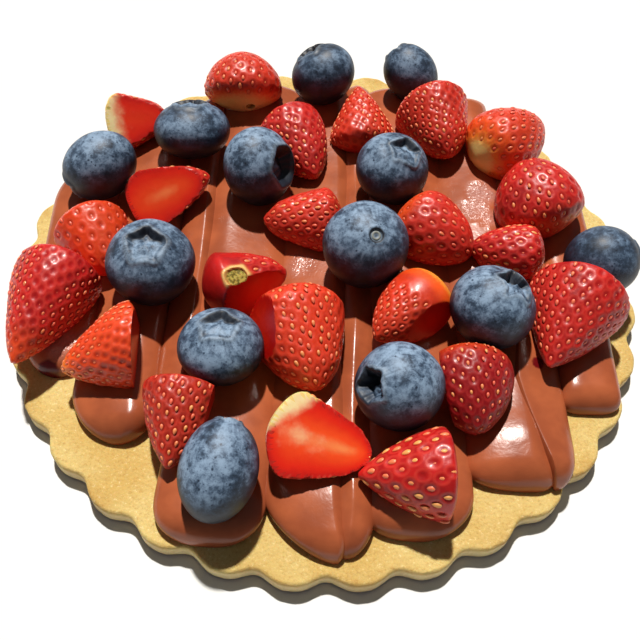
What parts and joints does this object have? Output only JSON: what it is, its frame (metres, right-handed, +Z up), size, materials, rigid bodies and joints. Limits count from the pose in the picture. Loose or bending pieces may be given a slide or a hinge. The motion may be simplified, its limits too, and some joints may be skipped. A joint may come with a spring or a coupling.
{
  "type": "berry chocolate tart",
  "caption": "Flat open tart: a scalloped shortcrust disc under piped strokes of milk chocolate cream, topped with cut strawberries and whole blueberries.",
  "frame": {"origin": "centre of the disc's flat underside, on the table", "axes": "+Z up, +Y along the piped strokes towards the back, +X to the right as the front is faced"},
  "size_m": [0.1398, 0.1399, 0.0267],
  "materials": {
    "shortcrust": "dry, sandy baked crumb",
    "chocolate_cream": "satin, smooth piped cream",
    "blueberry": "matt waxy bloom over dark skin",
    "strawberry": "moist, glossy skin with small pips"
  },
  "bodies": {
    "root": {"blueberry_01": "blueberry", "blueberry_02": "blueberry", "blueberry_03": "blueberry", "blueberry_04": "blueberry", "blueberry_05": "blueberry", "blueberry_06": "blueberry", "blueberry_07": "blueberry", "blueberry_08": "blueberry", "blueberry_09": "blueberry", "blueberry_10": "blueberry", "blueberry_11": "blueberry", "blueberry_12": "blueberry", "blueberry_13": "blueberry", "chocolate_cream": "chocolate_cream", "pastry_base": "shortcrust", "strawberry_01": "strawberry", "strawberry_02": "strawberry", "strawberry_03": "strawberry", "strawberry_04": "strawberry", "strawberry_05": "strawberry", "strawberry_06": "strawberry", "strawberry_07": "strawberry", "strawberry_08": "strawberry", "strawberry_09": "strawberry", "strawberry_10": "strawberry", "strawberry_11": "strawberry", "strawberry_12": "strawberry", "strawberry_13": "strawberry", "strawberry_14": "strawberry", "strawberry_15": "strawberry", "strawberry_16": "strawberry", "strawberry_17": "strawberry", "strawberry_18": "strawberry", "strawberry_19": "strawberry", "strawberry_20": "strawberry", "strawberry_21": "strawberry", "strawberry_22": "strawberry"}
  },
  "joints": []
}
